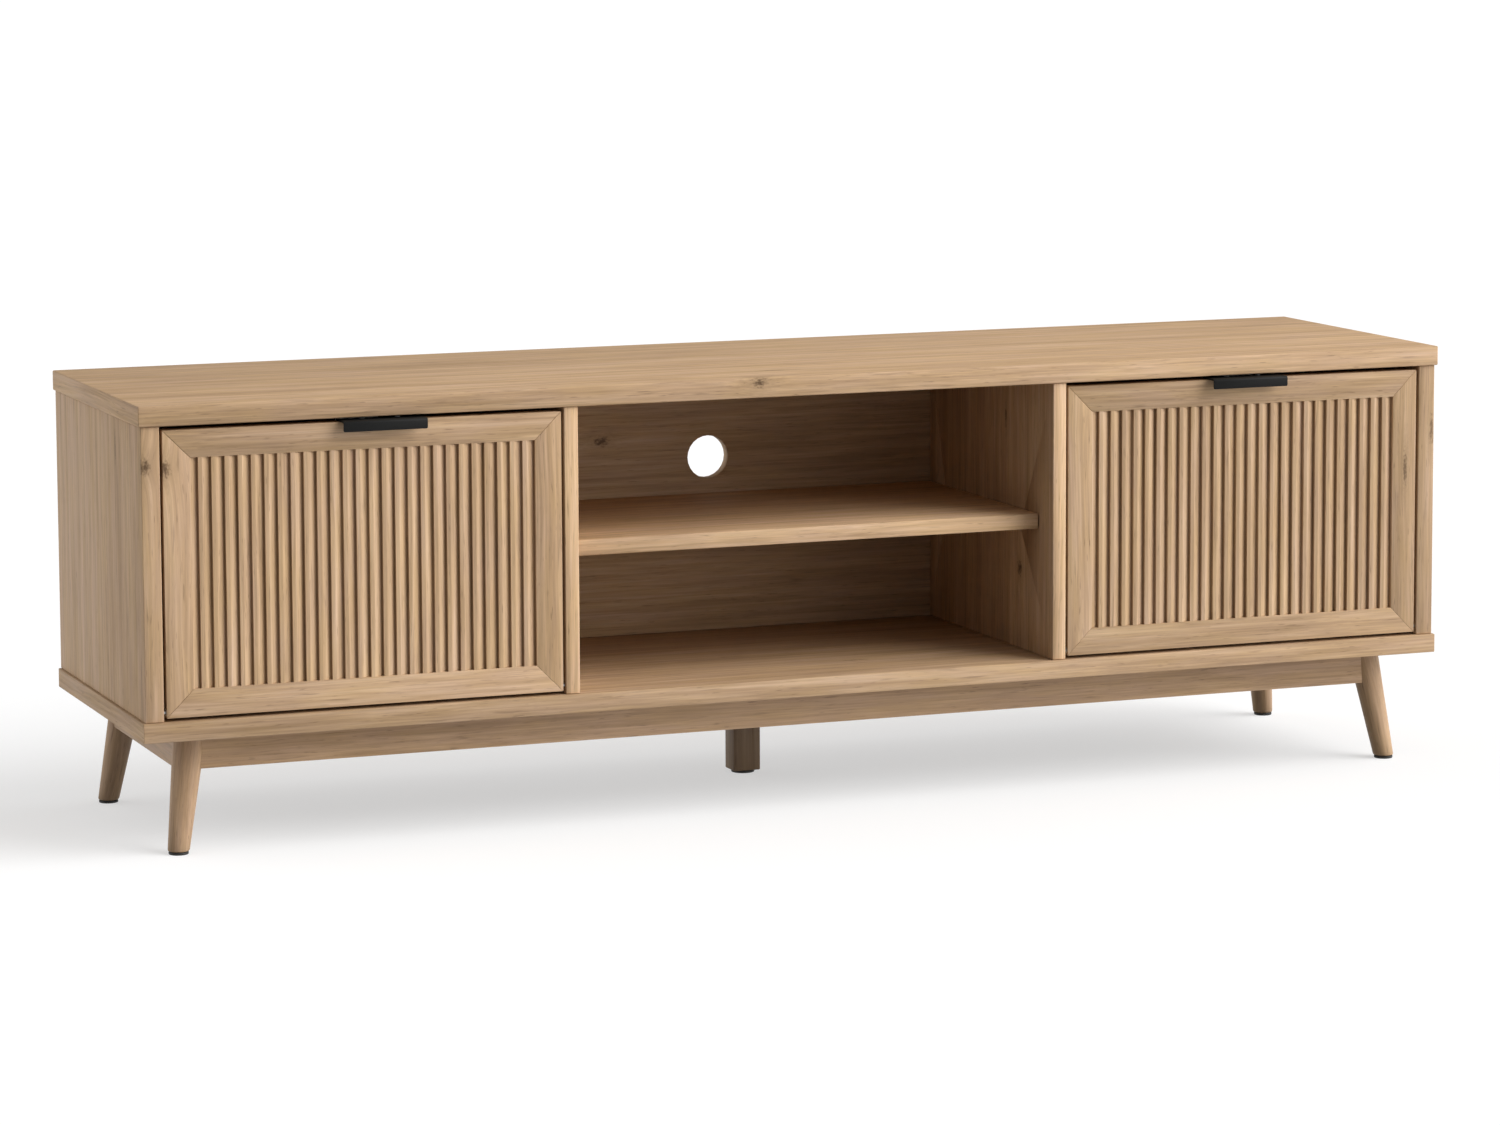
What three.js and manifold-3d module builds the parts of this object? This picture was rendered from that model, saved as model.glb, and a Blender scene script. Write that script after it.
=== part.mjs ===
// Media cabinet with two drop-down flap doors, an open middle bay and a splayed-leg base.
//
// Millimetres, +Z up. The origin is on the floor under the middle of the whole piece, pulls
// included. +X runs to the right-hand end and the open front faces -Y. The code below works
// from the middle of the boards, and the finished group is moved by half the pulls' overhang.

import * as THREE from 'three';
import { mergeVertices } from 'three/addons/utils/BufferGeometryUtils.js';
import Module from 'manifold-3d';

const wasm = await Module();
wasm.setup();

// ---------------------------------------------------------------- driving dimensions

const width = 1600; // over the ends of the top board
const depth = 400; // front edge of the top board to its back edge
const height = 505; // floor to the top of the top board
const seat = 0.3; // gap left between two pieces that touch
const runningGap = 0.4; // radial gap round a pin that turns or slides

const board = { top: 23, bottom: 22, overhang: 3 }; // thicknesses, and how far both stand proud
const underside = 133; // floor to the underside of the bottom board
const side = { thick: 21 };
const divider = { thick: 16.5, fromEnd: 490 }; // fromEnd: cabinet end to the divider's near face
const back = { thick: 15, recess: 18 };
const cableHole = { radius: 26, aboveShelf: 44 };

const shelf = { thick: 18, topAboveBayFloor: 169, setBack: 42, endGap: 1.2 };
const shelfPin = { radius: 2.5, grip: 10, reach: 9, inFromEdge: 55 };

const door = { thick: 20, setBack: 1, sideGap: 3.3, topGap: 5, bottomGap: 4, swing: 90 };
const frame = { width: 31, rebate: 8, lip: 7 }; // lip: thickness left in front of the rebate
const panel = { setBack: 0.2, thick: 15, tongueGap: 0.8 };
const flute = { pitch: 14.95, land: 4.5, depth: 5.2, curve: 1.15, steps: 6 }; // see flutedPanel

const pivot = { inFromFace: 6, aboveEdge: 6, radius: 2.5, grip: 10, reach: 9 };
const bush = { wall: 1.5, length: 11 };

const pull = { length: 97, proud: 16, drop: 12, thick: 2, onEdge: 14 };
const pullShift = { left: 20, right: 0 }; // pull's middle, to the right of its door's middle

const stay = {
  radius: 120, // pivot axis to the wall stud, and to the pin on the door
  behindDoor: 8, // door's back face to the pin on the door
  studAngle: 35, // pivot axis to the wall stud, leaning back from upright
  armWidth: 12,
  armThick: 2,
  pinRadius: 2.1,
  headRadius: 4,
  headThick: 1.5,
  sideGap: 1, // between the arm and the plates on either side of it
  slotPlay: 1.5, // slot left over past the stud at either end of the swing
};
const wallPlate = { length: 40, width: 16, thick: 2 };
const doorPlate = { width: 22, height: 34, thick: 1.5, tab: 1.5 };

const magnet = { length: 46, height: 14, depth: 16, gap: 0.6 };
const strike = { length: 40, height: 12, thick: 1.2, belowDoorTop: 2 };

const apron = { thick: 20, height: 40, frontIn: 44, endIn: 49 };
const leg = { topRadius: 18.5, footRadius: 12.2, footIn: { x: 47, y: 40 }, splay: 20 };
const centreLeg = { width: 34, depth: 30, behindMiddle: 54 };
const glide = { height: 3, inset: 1 };
const brace = { reach: 40, thick: 20, height: 30 };

// ---------------------------------------------------------------- planes worked out from them

const front = -depth / 2;
const rear = depth / 2;
const boardEnd = width / 2;
const sideOuter = boardEnd - board.overhang;
const sideInner = sideOuter - side.thick;
const dividerOuter = boardEnd - divider.fromEnd;
const dividerInner = dividerOuter - divider.thick;
const carcassFront = front + board.overhang;

const topUnder = height - board.top;
const bayFloor = underside + board.bottom;
const shelfTop = bayFloor + shelf.topAboveBayFloor;

const backRear = rear - back.recess;
const backFront = backRear - back.thick;

const doorFace = carcassFront + door.setBack;
const doorBack = doorFace + door.thick;
const doorBottom = bayFloor + door.bottomGap;
const doorTop = topUnder - door.topGap;
const axis = { y: doorFace + pivot.inFromFace, z: doorBottom + pivot.aboveEdge };

// ---------------------------------------------------------------- finishes

const finishes = {
  oakTop: { color: 0xcbad8a, roughness: 0.5, metalness: 0 },
  oakCarcass: { color: 0xc1a07b, roughness: 0.55, metalness: 0 },
  oakDoor: { color: 0xc4a682, roughness: 0.5, metalness: 0 },
  oakSolid: { color: 0xb8946c, roughness: 0.5, metalness: 0 },
  blackPull: { color: 0x2b2d2f, roughness: 0.45, metalness: 0.6 },
  steel: { color: 0xb4b6b8, roughness: 0.3, metalness: 1 },
  nylon: { color: 0xe8e6df, roughness: 0.6, metalness: 0 },
  darkNylon: { color: 0x252320, roughness: 0.7, metalness: 0 },
};

// ---------------------------------------------------------------- geometry helpers

function block(x, y, z) {
  const geometry = new THREE.BoxGeometry(x[1] - x[0], y[1] - y[0], z[1] - z[0]);
  return geometry.translate((x[0] + x[1]) / 2, (y[0] + y[1]) / 2, (z[0] + z[1]) / 2);
}

/** A shape drawn in X and Z, given thickness from y[0] to y[1]. */
function upright(shape, y) {
  const geometry = new THREE.ExtrudeGeometry(shape, { depth: y[1] - y[0], bevelEnabled: false });
  return geometry.rotateX(Math.PI / 2).translate(0, y[1], 0);
}

/** A shape drawn in X and Y, given height from z[0] to z[1]. */
function column(shape, z) {
  const geometry = new THREE.ExtrudeGeometry(shape, { depth: z[1] - z[0], bevelEnabled: false });
  return geometry.translate(0, 0, z[0]);
}

/** A shape drawn in Y and Z, given length from x[0] to x[1]. */
function sideways(shape, x) {
  const options = { depth: x[1] - x[0], bevelEnabled: false, curveSegments: 10 };
  const turn = new THREE.Matrix4().makeBasis(
    new THREE.Vector3(0, 1, 0),
    new THREE.Vector3(0, 0, 1),
    new THREE.Vector3(1, 0, 0),
  );
  return new THREE.ExtrudeGeometry(shape, options).applyMatrix4(turn).translate(x[0], 0, 0);
}

/** A rod along X between x[0] and x[1], through (y, z). */
function rod(x, y, z, radius) {
  const geometry = new THREE.CylinderGeometry(radius, radius, x[1] - x[0], 24);
  return geometry.rotateZ(Math.PI / 2).translate((x[0] + x[1]) / 2, y, z);
}

function outline(points) {
  return new THREE.Shape(points.map(([u, v]) => new THREE.Vector2(u, v)));
}

/** Two numbers in rising order, mirrored to the left when hand is -1. */
function span(hand, near, far) {
  return [hand * near, hand * far].sort((a, b) => a - b);
}

function toSolid(geometry) {
  const bare = geometry.clone();
  bare.deleteAttribute('normal');
  bare.deleteAttribute('uv');
  const merged = mergeVertices(bare, 1e-4);
  const vertProperties = new Float32Array(merged.attributes.position.array);
  const triVerts = new Uint32Array(merged.index.array);
  return new wasm.Manifold(new wasm.Mesh({ numProp: 3, vertProperties, triVerts }));
}

function toGeometry(solid) {
  const mesh = solid.getMesh();
  const geometry = new THREE.BufferGeometry();
  geometry.setAttribute('position', new THREE.BufferAttribute(mesh.vertProperties, 3));
  geometry.setIndex(new THREE.BufferAttribute(mesh.triVerts, 1));
  return geometry;
}

function cut(body, ...tools) {
  return toGeometry(tools.reduce((solid, tool) => solid.subtract(toSolid(tool)), toSolid(body)));
}

function join(body, ...others) {
  return toGeometry(others.reduce((solid, other) => solid.add(toSolid(other)), toSolid(body)));
}

const cabinet = new THREE.Group();

function piece(parent, name, geometry, finish) {
  const mesh = new THREE.Mesh(geometry, new THREE.MeshStandardMaterial(finishes[finish]));
  mesh.name = name;
  parent.add(mesh);
}

// ---------------------------------------------------------------- carcass

const hands = { left: -1, right: 1 };

/** Blind hole in a panel for a pin of the given radius, sunk by grip from the face at x. */
function pinHole(x, into, grip, y, z, radius) {
  const mouth = x - into * seat;
  return rod([mouth, x + into * (grip + seat)].sort((a, b) => a - b), y, z, radius + seat);
}

function buildBoards(parent) {
  const across = [-boardEnd, boardEnd];
  const through = [front, rear];
  piece(parent, 'top_board', block(across, through, [topUnder, height]), 'oakTop');
  piece(parent, 'bottom_board', block(across, through, [underside, bayFloor]), 'oakCarcass');
}

const shelfPinZ = shelfTop - shelf.thick - seat - shelfPin.radius;
const shelfFront = front + shelf.setBack;
const shelfBack = backFront - shelf.endGap;
const shelfPinY = [shelfFront + shelfPin.inFromEdge, shelfBack - shelfPin.inFromEdge];

function buildUprights(parent) {
  const tall = [bayFloor + seat, topUnder - seat];
  for (const [name, hand] of Object.entries(hands)) {
    const sidePanel = block(span(hand, sideInner, sideOuter), [carcassFront, rear], tall);
    const sideHole = pinHole(hand * sideInner, hand, pivot.grip, axis.y, axis.z, pivot.radius);
    piece(parent, `${name}_side_panel`, cut(sidePanel, sideHole), 'oakCarcass');

    const through = [carcassFront, backFront - seat];
    const dividerPanel = block(span(hand, dividerInner, dividerOuter), through, tall);
    const holes = [pinHole(hand * dividerOuter, -hand, pivot.grip, axis.y, axis.z, pivot.radius)];
    for (const y of shelfPinY) {
      holes.push(pinHole(hand * dividerInner, hand, shelfPin.grip, y, shelfPinZ, shelfPin.radius));
    }
    piece(parent, `${name}_divider`, cut(dividerPanel, ...holes), 'oakCarcass');
  }
}

function buildBackPanel(parent) {
  const halfWidth = sideInner - seat;
  const tall = [bayFloor + seat, topUnder - seat];
  const shape = outline([
    [-halfWidth, tall[0]],
    [halfWidth, tall[0]],
    [halfWidth, tall[1]],
    [-halfWidth, tall[1]],
  ]);
  const holeZ = shelfTop + cableHole.aboveShelf;
  shape.holes.push(new THREE.Path().absarc(0, holeZ, cableHole.radius, 0, 2 * Math.PI, true));
  piece(parent, 'back_panel', upright(shape, [backFront, backRear]), 'oakCarcass');
}

function buildShelf(parent) {
  const halfWidth = dividerInner - shelf.endGap;
  const wide = [-halfWidth, halfWidth];
  const tall = [shelfTop - shelf.thick, shelfTop];
  piece(parent, 'middle_shelf', block(wide, [shelfFront, shelfBack], tall), 'oakCarcass');
  for (const [name, hand] of Object.entries(hands)) {
    shelfPinY.forEach((y, i) => {
      const along = span(hand, dividerInner - shelfPin.reach, dividerInner + shelfPin.grip);
      const pin = rod(along, y, shelfPinZ, shelfPin.radius);
      piece(parent, `shelf_pin_${name}_${['front', 'rear'][i]}`, pin, 'steel');
    });
  }
}

// ---------------------------------------------------------------- flap doors

/** One mitred member of the door frame: a trapezoid with a rebate for the fluted panel. */
function frameMember(corners, opening, bores) {
  const rebate = block(
    [opening.x[0] - frame.rebate, opening.x[1] + frame.rebate],
    [doorFace + frame.lip, doorBack + 1],
    [opening.z[0] - frame.rebate, opening.z[1] + frame.rebate],
  );
  return cut(upright(outline(corners), [doorFace, doorBack]), rebate, ...bores);
}

/**
 * Panel with flutes running up it, and a thinner tongue that sits in the rebate. Counted from the
 * right, each flute is a step straight in, a hollow that rises to the face, and a flat land.
 */
function flutedPanel(opening) {
  const ridge = doorFace + panel.setBack;
  const rearFace = ridge + panel.thick;
  const x = [opening.x[0] + seat, opening.x[1] - seat];
  const z = [opening.z[0] + seat, opening.z[1] - seat];

  const hollow = flute.pitch - flute.land;
  const sunk = (left) => ridge + flute.depth * Math.max(0, 1 - left / hollow) ** flute.curve;
  const face = [];
  for (let right = x[1]; right > x[0]; right -= flute.pitch) {
    const lefts = Array.from({ length: flute.steps + 1 }, (_, i) => (hollow * i) / flute.steps);
    for (const left of [...lefts, flute.pitch]) {
      if (right - left > x[0]) face.unshift([right - left, sunk(left)]);
      else if (face[0][0] > x[0]) face.unshift([x[0], sunk(right - x[0])]);
    }
  }
  const points = [[x[1], rearFace], [x[0], rearFace], ...face];
  const overlap = frame.rebate - panel.tongueGap;
  const tongue = block(
    [opening.x[0] - overlap, opening.x[1] + overlap],
    [doorFace + frame.lip + seat, rearFace],
    [opening.z[0] - overlap, opening.z[1] + overlap],
  );
  return join(tongue, column(outline(points), z));
}

/** The same corner of a mitred frame pulled back by half the seat gap on each side of the joint. */
function mitred(outer, inner, along) {
  const half = (seat / 2) * Math.SQRT2;
  const [ax, az] = along;
  return [
    [outer[0] + ax * half, outer[1] + az * half],
    [inner[0] + ax * half, inner[1] + az * half],
  ];
}

function buildDoor(parent, name, hand) {
  const x = span(hand, dividerOuter + door.sideGap, sideInner - door.sideGap);
  const z = [doorBottom, doorTop];
  const opening = {
    x: [x[0] + frame.width, x[1] - frame.width],
    z: [z[0] + frame.width, z[1] - frame.width],
  };
  const bushBores = x.map((end, i) => {
    const inward = i === 0 ? 1 : -1;
    const length = bush.length + seat;
    const reach = [end - inward, end + inward * length].sort((a, b) => a - b);
    return rod(reach, axis.y, axis.z, pivot.radius + runningGap + bush.wall + seat);
  });

  const [outerSW, outerSE, outerNE, outerNW] = [[x[0], z[0]], [x[1], z[0]], [x[1], z[1]], [x[0], z[1]]];
  const [innerSW, innerSE, innerNE, innerNW] = [
    [opening.x[0], opening.z[0]],
    [opening.x[1], opening.z[0]],
    [opening.x[1], opening.z[1]],
    [opening.x[0], opening.z[1]],
  ];
  const member = (label, start, end, bores) => {
    const corners = [...start, end[1], end[0]];
    piece(parent, `${name}_door_${label}`, frameMember(corners, opening, bores), 'oakDoor');
  };
  member('bottom_rail', mitred(outerSW, innerSW, [1, 0]), mitred(outerSE, innerSE, [-1, 0]), bushBores);
  member('top_rail', mitred(outerNE, innerNE, [-1, 0]), mitred(outerNW, innerNW, [1, 0]), []);
  member('right_stile', mitred(outerSE, innerSE, [0, 1]), mitred(outerNE, innerNE, [0, -1]), bushBores);
  member('left_stile', mitred(outerNW, innerNW, [0, -1]), mitred(outerSW, innerSW, [0, 1]), bushBores);
  piece(parent, `${name}_door_fluted_panel`, flutedPanel(opening), 'oakDoor');

  buildPivots(parent, name, hand);
  buildPull(parent, name, (x[0] + x[1]) / 2 + pullShift[name]);
  buildStay(parent, name, hand);
  buildCatch(parent, name, (x[0] + x[1]) / 2);
}

/** At both bottom corners a steel pin in the panel turns in a nylon bush in the door. */
function buildPivots(parent, name, hand) {
  const ends = [
    { label: 'outer', face: sideInner, into: 1, doorEdge: sideInner - door.sideGap },
    { label: 'inner', face: dividerOuter, into: -1, doorEdge: dividerOuter + door.sideGap },
  ];
  for (const end of ends) {
    const pinTip = end.doorEdge - end.into * pivot.reach;
    const pin = rod(span(hand, pinTip, end.face + end.into * pivot.grip), axis.y, axis.z, pivot.radius);
    piece(parent, `${name}_pivot_pin_${end.label}`, pin, 'steel');

    const inside = pivot.radius + runningGap;
    const ring = new THREE.Shape().absarc(axis.y, axis.z, inside + bush.wall, 0, 2 * Math.PI, false);
    ring.holes.push(new THREE.Path().absarc(axis.y, axis.z, inside, 0, 2 * Math.PI, true));
    const sleeve = sideways(ring, span(hand, end.doorEdge, end.doorEdge - end.into * bush.length));
    piece(parent, `${name}_pivot_bush_${end.label}`, sleeve, 'nylon');
  }
}

/** Folded metal pull: one leaf lies on the door's top edge, the other hangs down in front. */
function buildPull(parent, name, middle) {
  const underside = doorTop + seat;
  const upper = underside + pull.thick;
  const lipFront = doorFace - pull.proud;
  const lipBack = lipFront + pull.thick;
  const shape = outline([
    [lipFront, upper - pull.drop],
    [lipBack, upper - pull.drop],
    [lipBack, underside],
    [doorFace + pull.onEdge, underside],
    [doorFace + pull.onEdge, upper],
    [lipFront, upper],
  ]);
  const along = [middle - pull.length / 2, middle + pull.length / 2];
  piece(parent, `${name}_door_pull`, sideways(shape, along), 'blackPull');
}

/** Stadium outline from u0 to u1 along the arm, for the arm itself or for its slot. */
function stadium(path, u0, u1, radius) {
  path.absarc(u1, 0, radius, -Math.PI / 2, Math.PI / 2, false);
  path.absarc(u0, 0, radius, Math.PI / 2, (3 * Math.PI) / 2, false);
  path.closePath();
  return path;
}

/** Slotted arm that holds the open flap level: it turns on the door and slides on a wall stud. */
function buildStay(parent, name, hand) {
  const lean = THREE.MathUtils.degToRad(stay.studAngle);
  const stud = { y: axis.y + stay.radius * Math.sin(lean), z: axis.z + stay.radius * Math.cos(lean) };
  const pinBack = doorBack + stay.behindDoor - axis.y;
  const pin = { y: axis.y + pinBack, z: axis.z + Math.sqrt(stay.radius ** 2 - pinBack ** 2) };
  const doorAngle = Math.asin(pinBack / stay.radius);
  const apart = (open) => 2 * stay.radius * Math.sin((lean - doorAngle + open) / 2);
  const closed = apart(0);
  const opened = apart(THREE.MathUtils.degToRad(door.swing));

  const armOuter = sideInner - seat - wallPlate.thick - stay.sideGap;
  const armInner = armOuter - stay.armThick;
  const slotRadius = stay.pinRadius + runningGap;
  const armEnd = opened + stay.slotPlay + stay.armWidth / 2;
  const shape = stadium(new THREE.Shape(), 0, armEnd, stay.armWidth / 2);
  shape.holes.push(stadium(new THREE.Path(), closed - stay.slotPlay, opened + stay.slotPlay, slotRadius));
  shape.holes.push(new THREE.Path().absarc(0, 0, slotRadius, 0, 2 * Math.PI, true));
  const slope = Math.atan2(stud.z - pin.z, stud.y - pin.y);
  const arm = sideways(shape, [0, stay.armThick]).rotateX(slope);
  arm.translate(span(hand, armInner, armOuter)[0], pin.y, pin.z);
  piece(parent, `${name}_stay_arm`, arm, 'steel');

  const plateOuter = sideInner - seat;
  const headOuter = armInner - stay.sideGap;
  const headInner = headOuter - stay.headThick;
  const plate = block(
    span(hand, plateOuter - wallPlate.thick, plateOuter),
    [stud.y - wallPlate.width / 2, stud.y + wallPlate.width / 2],
    [stud.z - wallPlate.length / 2, stud.z + wallPlate.length / 2],
  );
  const studRod = rod(span(hand, headInner, plateOuter), stud.y, stud.z, stay.pinRadius);
  const studHead = rod(span(hand, headInner, headOuter), stud.y, stud.z, stay.headRadius);
  piece(parent, `${name}_stay_wall_bracket`, join(plate, studRod, studHead), 'steel');

  const tabOuter = armInner - stay.sideGap;
  const tabInner = tabOuter - doorPlate.tab;
  const base = block(
    span(hand, tabOuter - doorPlate.width, tabOuter),
    [doorBack + seat, doorBack + seat + doorPlate.thick],
    [pin.z - doorPlate.height / 2, pin.z + doorPlate.height / 2],
  );
  const tab = block(
    span(hand, tabInner, tabOuter),
    [doorBack + seat, pin.y + stay.armWidth / 2],
    [pin.z - stay.armWidth / 2, pin.z + stay.armWidth / 2],
  );
  const rivet = rod(span(hand, tabInner, armOuter + stay.sideGap / 2), pin.y, pin.z, stay.pinRadius);
  piece(parent, `${name}_stay_door_bracket`, join(base, tab, rivet), 'steel');
}

/** Magnetic catch under the top board, and the steel strike plate on the door that meets it. */
function buildCatch(parent, name, middle) {
  const catchFront = doorBack + seat + strike.thick + magnet.gap;
  const catchTop = topUnder - seat;
  const body = block(
    [middle - magnet.length / 2, middle + magnet.length / 2],
    [catchFront, catchFront + magnet.depth],
    [catchTop - magnet.height, catchTop],
  );
  piece(parent, `${name}_magnetic_catch`, body, 'nylon');

  const strikeTop = doorTop - strike.belowDoorTop;
  const plate = block(
    [middle - strike.length / 2, middle + strike.length / 2],
    [doorBack + seat, doorBack + seat + strike.thick],
    [strikeTop - strike.height, strikeTop],
  );
  piece(parent, `${name}_strike_plate`, plate, 'steel');
}

// ---------------------------------------------------------------- base

const legFoot = { x: boardEnd - leg.footIn.x, y: rear - leg.footIn.y, z: glide.height + seat };
const legHead = { x: legFoot.x - leg.splay, y: legFoot.y - leg.splay, z: underside - seat };

/** Round tapered leg, leaning out at the foot, cut level at both ends. */
function splayedLeg(handX, handY, grow) {
  const tall = legHead.z - legFoot.z;
  const geometry = new THREE.CylinderGeometry(leg.topRadius + grow, leg.footRadius + grow, tall, 32);
  geometry.rotateX(Math.PI / 2).translate(0, 0, tall / 2);
  const leanX = (handX * (legHead.x - legFoot.x)) / tall;
  const leanY = (handY * (legHead.y - legFoot.y)) / tall;
  geometry.applyMatrix4(new THREE.Matrix4().makeShear(0, 0, 0, 0, leanX, leanY));
  return geometry.translate(handX * legFoot.x, handY * legFoot.y, legFoot.z);
}

function buildBase(parent) {
  const tall = [underside - apron.height, underside - seat];
  const frontOuter = rear - apron.frontIn;
  const frontInner = frontOuter - apron.thick;
  const endOuter = boardEnd - apron.endIn;
  const endInner = endOuter - apron.thick;

  for (const [name, hand] of [['front', -1], ['rear', 1]]) {
    const rail = block([-legHead.x, legHead.x], span(hand, frontInner, frontOuter), tall);
    const copes = [splayedLeg(-1, hand, seat), splayedLeg(1, hand, seat)];
    piece(parent, `${name}_apron`, cut(rail, ...copes), 'oakSolid');
  }
  for (const [name, hand] of Object.entries(hands)) {
    const rail = block(span(hand, endInner, endOuter), [-legHead.y, legHead.y], tall);
    const copes = [splayedLeg(hand, -1, seat), splayedLeg(hand, 1, seat)];
    piece(parent, `${name}_apron`, cut(rail, ...copes), 'oakSolid');
  }

  for (const [nameX, handX] of Object.entries(hands)) {
    for (const [nameY, handY] of [['front', -1], ['rear', 1]]) {
      const corner = `${nameY}_${nameX}`;
      piece(parent, `${corner}_leg`, splayedLeg(handX, handY, 0), 'oakSolid');
      buildGlide(parent, `${corner}_glide`, handX * legFoot.x, handY * legFoot.y, leg.footRadius);

      const cornerX = handX * (endInner - seat);
      const cornerY = handY * (frontInner - seat);
      const far = brace.reach + brace.thick;
      const points = [[brace.reach, 0], [far, 0], [0, far], [0, brace.reach]];
      const turned = points.map(([u, v]) => [cornerX - handX * u, cornerY - handY * v]);
      const block45 = column(outline(turned), [underside - seat - brace.height, underside - seat]);
      piece(parent, `${corner}_corner_brace`, block45, 'oakSolid');
    }
  }

  const halfWidth = centreLeg.width / 2;
  const centreY = centreLeg.behindMiddle;
  const square = block(
    [-halfWidth, halfWidth],
    [centreY - centreLeg.depth / 2, centreY + centreLeg.depth / 2],
    [glide.height + seat, underside - seat],
  );
  piece(parent, 'centre_leg', square, 'oakSolid');
  buildGlide(parent, 'centre_glide', 0, centreY, centreLeg.depth / 2);
}

function buildGlide(parent, name, x, y, footRadius) {
  const radius = footRadius - glide.inset;
  const disc = new THREE.CylinderGeometry(radius, radius, glide.height, 24).rotateX(Math.PI / 2);
  piece(parent, name, disc.translate(x, y, glide.height / 2), 'darkNylon');
}

// ---------------------------------------------------------------- assembly

buildBoards(cabinet);
buildUprights(cabinet);
buildBackPanel(cabinet);
buildShelf(cabinet);
for (const [name, hand] of Object.entries(hands)) {
  buildDoor(cabinet, name, hand);
}
buildBase(cabinet);

const pullOverhang = pull.proud - door.setBack - board.overhang;
cabinet.position.y = pullOverhang / 2;

export default cabinet;
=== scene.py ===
"""Media cabinet: fluted flap doors, open middle bay, splayed oak legs. All sizes are in metres."""

import math
import random

import bmesh
import bpy
from mathutils import Matrix, Vector


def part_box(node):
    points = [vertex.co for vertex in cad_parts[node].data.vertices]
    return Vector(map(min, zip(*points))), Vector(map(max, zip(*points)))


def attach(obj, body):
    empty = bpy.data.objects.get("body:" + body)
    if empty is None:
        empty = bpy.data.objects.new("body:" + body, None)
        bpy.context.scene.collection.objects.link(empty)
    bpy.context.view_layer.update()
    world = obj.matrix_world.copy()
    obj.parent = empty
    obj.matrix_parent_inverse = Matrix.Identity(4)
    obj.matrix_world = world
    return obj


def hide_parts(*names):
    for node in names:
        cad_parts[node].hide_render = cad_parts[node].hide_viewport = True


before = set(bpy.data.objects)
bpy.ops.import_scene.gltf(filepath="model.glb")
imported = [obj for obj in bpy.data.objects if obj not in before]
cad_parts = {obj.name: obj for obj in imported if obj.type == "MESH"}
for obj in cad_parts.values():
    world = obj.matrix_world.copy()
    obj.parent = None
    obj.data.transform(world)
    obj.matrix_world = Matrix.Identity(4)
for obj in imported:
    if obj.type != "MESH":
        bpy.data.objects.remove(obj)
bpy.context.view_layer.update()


# ---------------------------------------------------------------------------------------------
# Top board and bottom board. Particle board with light oak decor foil on every face and edge,
# sawn square, edges eased by about a millimetre. Both stand 3 mm proud of the sides.

draw = random.Random(41)  # where each board's decor was cut from the printed roll


def linear(hex_colour):
    """An sRGB hex colour as the linear red, green, blue and alpha that sockets take."""
    parts = [int(hex_colour[i : i + 2], 16) / 255 for i in (1, 3, 5)]
    return [p / 12.92 if p <= 0.04045 else ((p + 0.055) / 1.055) ** 2.4 for p in parts] + [1.0]


def add(tree, kind, inputs=None, **settings):
    """Adds a node to a tree with its settings. Each input is a value, or a socket or node."""
    made = tree.nodes.new(kind)
    for name, value in settings.items():
        setattr(made, name, value)
    for socket, value in (inputs or {}).items():
        source = value.outputs[0] if isinstance(value, bpy.types.Node) else value
        if isinstance(source, bpy.types.NodeSocket):
            tree.links.new(source, made.inputs[socket])
        else:
            made.inputs[socket].default_value = source
    return made


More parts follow.
